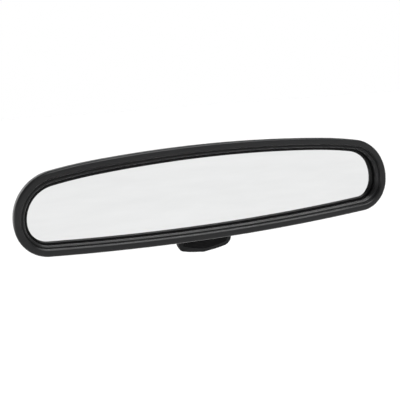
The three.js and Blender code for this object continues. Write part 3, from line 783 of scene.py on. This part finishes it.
def make_small_parts():
    """Screws, the two pins and the clips on the pins' ends."""
    for i, spot in enumerate(screw_spots(), 1):
        small_screw(f"socket_screw_{i}", -5.6, 1.7, 2.6, "bracket", f"clamp_screw_{i}",
                    IN_HEAD @ Matrix.Translation(spot))
    small_screw("leaf_screw", 4.4, 0.2, -0.8, "head", "detent_screw",
                IN_HEAD @ Matrix.Translation(LEAF_SCREW), shank=0.9, head=2.0)
    pins = (("tilt_pin", "hinge_pin", 13.6, HINGE), ("swing_pin", "lever_pin", 18.6, PIVOT))
    for name, node, half, spot in pins:
        pin = [(0, -half, 0), (PIN_R, -half, 0.35), (PIN_R, half, 0.35), (0, half, 0)]
        turned_piece(name, pin, "pin", "head", node, IN_HEAD @ Matrix.Translation(spot) @ ALONG_X, steps=36)
    for i in range(1, 5):
        low, high = node_box(f"pin_clip_{i}")
        half = (high.x - low.x) / 2
        middle = Vector(((low.x + high.x) / 2, (low.y + high.y) / 2, (low.z + high.z) / 2))
        clip = [(PIN_R + 0.1, -half, 0.1), (3, -half, 0.15), (3, half, 0.15), (PIN_R + 0.1, half, 0.1)]
        turned_piece(f"push_clip_{i}", clip, "leaf", "head", f"pin_clip_{i}",
                     Matrix.Translation(middle) @ ALONG_X, steps=40, closed=True)


def carry_over():
    """CAD nodes inside the head whose plain shape is right keep it and take a finished material."""
    for node, look in (("foam_pad", "foam"), ("silver_coat", "silver"), ("detent_spring", "leaf")):
        obj = frame["nodes"][node]
        obj.data.materials.clear()
        obj.data.materials.append(LOOKS[look])


# ---------------------------------------------------------------- dipping lever


def paddle_outline(inset=0.0):
    """The lever seen from the driver's side, [x, z] points that start at the top left."""
    stem, wide = STEM_HALF - inset, PADDLE_HALF - inset
    corners = [(-stem, -1.5 - inset, 0.2), (-stem, -10.8 - inset, 1.2), (-wide, -11.6 - inset, 2.2),
               *paddle_foot(inset),
               (wide, -11.6 - inset, 2.2), (stem, -10.8 - inset, 1.2), (stem, -1.5 - inset, 0.2)]
    return rounded(corners, steps=7)


def paddle_foot(inset):
    """Lower edge of the paddle: rounded corners and two shallow flanks that meet in a blunt point."""
    half = [
        (PADDLE_HALF - inset, -PADDLE_SIDE_END, 1.5),
        (PADDLE_HALF - 2.1 - inset * 0.7, inset * 0.7 - PADDLE_TIP + 3.0, 2.2),
        (PADDLE_HALF - 9.2 - inset * 0.3, inset - PADDLE_TIP + 1.25, 2.5),
    ]
    return [*[(-x, z, e) for x, z, e in half], (0, inset - PADDLE_TIP, 0.8), *reversed(half)]


def make_lever():
    """Paddle with a rear swell, two hubs on the pin, and the offset rod that tips the head."""
    half = LEVER_T / 2
    edge = [(-half, 0.5), (-half + 0.07, 0.28), (-half + 0.22, 0.09), (-half + 0.5, 0), (half - 0.5, 0),
            (half - 0.22, 0.09), (half - 0.07, 0.28), (half, 0.5)]
    rings = [[Vector((x, y, z)) for x, z in paddle_outline(inset)] for y, inset in edge]
    lever = build("lever_paddle", Shape().skin(rings, capped=True).moved(ON_PIVOT))
    parts = []
    hub_length, web_r, web_t, web_reach = 7.7, 1.8, 2.1, 7
    for start in (-STEM_HALF, STEM_HALF - hub_length):
        parts.append(Shape().rod(3.3, start, start + hub_length, 40, ease=0.3).moved(ALONG_X))
    on_throw = Matrix.Translation((0, 0, THROW)) @ ALONG_X
    for start in (-web_reach, web_reach - web_t):
        parts.append(Shape().rod(web_r, start, start + web_t, 28, ease=0.2, detail=2).moved(on_throw))
        parts.append(Shape().box(start, start + web_t, -web_r, web_r, 0, THROW, 0.1))
    parts.append(Shape().rod(1.1, -5.5, 5.5, 28, ease=0).moved(on_throw))
    # depth behind the paddle's middle, inset
    swell = [(0.2, 0.4), (1.5, 0), (PADDLE_BACK - 1.6, 0.1), (PADDLE_BACK - 0.6, 0.4),
             (PADDLE_BACK - 0.15, 1.0), (PADDLE_BACK, 1.9)]
    loops = []
    for y, inset in swell:
        side, top = PADDLE_HALF - inset, PADDLE_NECK - inset
        corners = [(-side, top, 1.0), *paddle_foot(inset), (side, top, 1.0)]
        loops.append([Vector((x, y, z)) for x, z in rounded(corners, steps=7)])
    parts.append(Shape().skin(loops, capped=True))
    combine(lever, [build("add", s.moved(ON_PIVOT)) for s in parts], "UNION")
    bore = Shape().rod(BORE_R, -20, 20, 28).moved(ALONG_X)
    gap = Shape().box(-4.9, 4.9, -4, 4, -2.4, 2.2, 0.1)
    combine(lever, [build("cut", s.moved(ON_PIVOT)) for s in (bore, gap)], "DIFFERENCE")
    return finish_piece(lever, LOOKS["lever"], "lever", "dip_lever", crease=30)


def make_grip():
    """Finger pad with fine level ribs on the lever's front."""
    half, top, low_side, low_mid = 15.2, PADDLE_NECK, -17.5, -21.2
    front, back = -LEVER_T / 2 - 1.5, -LEVER_T / 2 - 0.1
    columns, rows, ribs, rib_depth, edge_round = 48, 60, 6, 0.10, 0.7
    grid = []
    for i in range(rows + 1):
        v = i / rows
        row = []
        for k in range(columns + 1):
            u = 2 * k / columns - 1
            floor = low_mid + (low_side - low_mid) * abs(u) ** 1.6
            z = top + (floor - top) * v
            edge = min(v, 1 - v) * (top - floor)
            edge = min(edge, half * (1 - abs(u)))
            rise = min(1.0, edge / edge_round) ** 0.5
            rib = rib_depth * math.cos(TURN * ribs * v)
            row.append(Vector((half * u, back - rise * (back - front - rib_depth + rib), z)))
        grid.append(row)
    flat_back = [[Vector((p.x, back, p.z)) for p in row] for row in grid]
    shape = Shape()
    width = columns + 1
    for sheet in (grid, flat_back):
        for row in sheet:
            shape.points.extend(row)
    offset = width * (rows + 1)
    for base in (0, offset):
        for i in range(rows):
            for k in range(columns):
                a = base + i * width + k
                shape.faces.append((a, a + 1, a + width + 1, a + width))
    pad = build("finger_pad", shape.moved(ON_PIVOT))
    return finish_piece(pad, LOOKS["grip"], "lever", "lever_grip", crease=50)


make_bezel()
make_shell()
make_glass()
make_foot()
make_foot_fittings()
make_bolt()
make_spring()
make_ball_joint()
make_bracket()
make_small_parts()
carry_over()
make_lever()
make_grip()


# ---------------------------------------------------------------- floor, light, camera


def make_floor():
    """Plain pale floor well below the mirror, with a fine mottled finish."""
    n = Nodes("pale_floor")
    n.link(n.blend(n.spread(n.noise(400, 2), 0, 1), (0.90, 0.90, 0.90), (0.93, 0.93, 0.93)),
           n.shader.inputs["Base Color"])
    n.shader.inputs["Roughness"].default_value = 0.9
    n.shader.inputs["Specular IOR Level"].default_value = 0.1
    half, drop = 9, 0.26
    mesh = bpy.data.meshes.new("floor")
    level = cad_low.z - drop
    corners = [(x * half, y * half, level) for x, y in ((-1, -1), (1, -1), (1, 1), (-1, 1))]
    mesh.from_pydata(corners, [], [(0, 1, 2, 3)])
    mesh.materials.append(n.material)
    floor = bpy.data.objects.new("floor", mesh)
    bpy.context.scene.collection.objects.link(floor)


def soft_box(name, place, aim, size, power):
    """A rectangular area light that looks at a point."""
    data = bpy.data.lights.new(name, "AREA")
    data.shape = "RECTANGLE"
    data.size, data.size_y = size
    data.energy = power
    light = bpy.data.objects.new(name, data)
    light.location = place
    light.rotation_euler = (Vector(aim) - Vector(place)).to_track_quat("-Z", "Y").to_euler()
    bpy.context.scene.collection.objects.link(light)


def make_light():
    """Pale studio: sky brightest near the horizon, a broad soft key from above and two lights at the left."""
    world = bpy.data.worlds.new("studio")
    world.use_nodes = True
    nodes, links = world.node_tree.nodes, world.node_tree.links
    sky = nodes["Background"]
    place = nodes.new("ShaderNodeTexCoord")
    split = nodes.new("ShaderNodeSeparateXYZ")
    fade = nodes.new("ShaderNodeMapRange")
    fade.interpolation_type = "SMOOTHSTEP"
    for key, value in (("From Min", 0.10), ("From Max", 0.45), ("To Min", 1.0), ("To Max", 0.28)):
        fade.inputs[key].default_value = value
    links.new(place.outputs["Generated"], split.inputs["Vector"])
    links.new(split.outputs["Z"], fade.inputs["Value"])
    links.new(fade.outputs["Result"], sky.inputs["Strength"])
    sky.inputs["Color"].default_value = (1, 1, 1, 1)
    bpy.context.scene.world = world
    key = bpy.data.lights.new("key", "SUN")
    key.energy = 3.0
    key.angle = math.radians(44)
    shines_towards = Vector((-0.32, 0.35, -0.88))
    lamp = bpy.data.objects.new("key", key)
    lamp.rotation_euler = shines_towards.to_track_quat("-Z", "Y").to_euler()
    bpy.context.scene.collection.objects.link(lamp)
    soft_box("left_back", (-1.1, 0.4, -0.1), (-0.12, -0.02, 0), (0.5, 0.3), 3.5)
    soft_box("left_front", (-1.1, -0.5, -0.1), (0.1, -0.02, 0), (0.6, 0.3), 1.6)
    bpy.context.scene.view_settings.view_transform = "Standard"
    bpy.context.scene.view_settings.look = "None"


def make_camera():
    """Seen from above and to the left of the glass, with the picture turned slightly."""
    from_left, above, roll = math.radians(25.82), math.radians(7.91), math.radians(3.24)
    distance = 0.5
    target = Vector((0, (BALL.y - 18) * MM, 0))
    level = math.cos(above)
    back = Vector((-math.sin(from_left) * level, -math.cos(from_left) * level, math.sin(above)))
    level_right = (-back).cross(Vector((0, 0, 1))).normalized()
    level_up = level_right.cross(-back)
    right = level_right * math.cos(roll) - level_up * math.sin(roll)
    up = level_up * math.cos(roll) + level_right * math.sin(roll)
    data = bpy.data.cameras.new("camera")
    data.sensor_width = 36
    data.lens = 73.64
    data.shift_x = -0.03715
    data.shift_y = -0.02585
    data.clip_start = 0.01
    camera = bpy.data.objects.new("camera", data)
    turned = Matrix((right, up, back)).transposed().to_4x4()
    camera.matrix_world = Matrix.Translation(target + back * distance) @ turned
    bpy.context.scene.collection.objects.link(camera)
    bpy.context.scene.camera = camera


make_floor()
make_light()
make_camera()
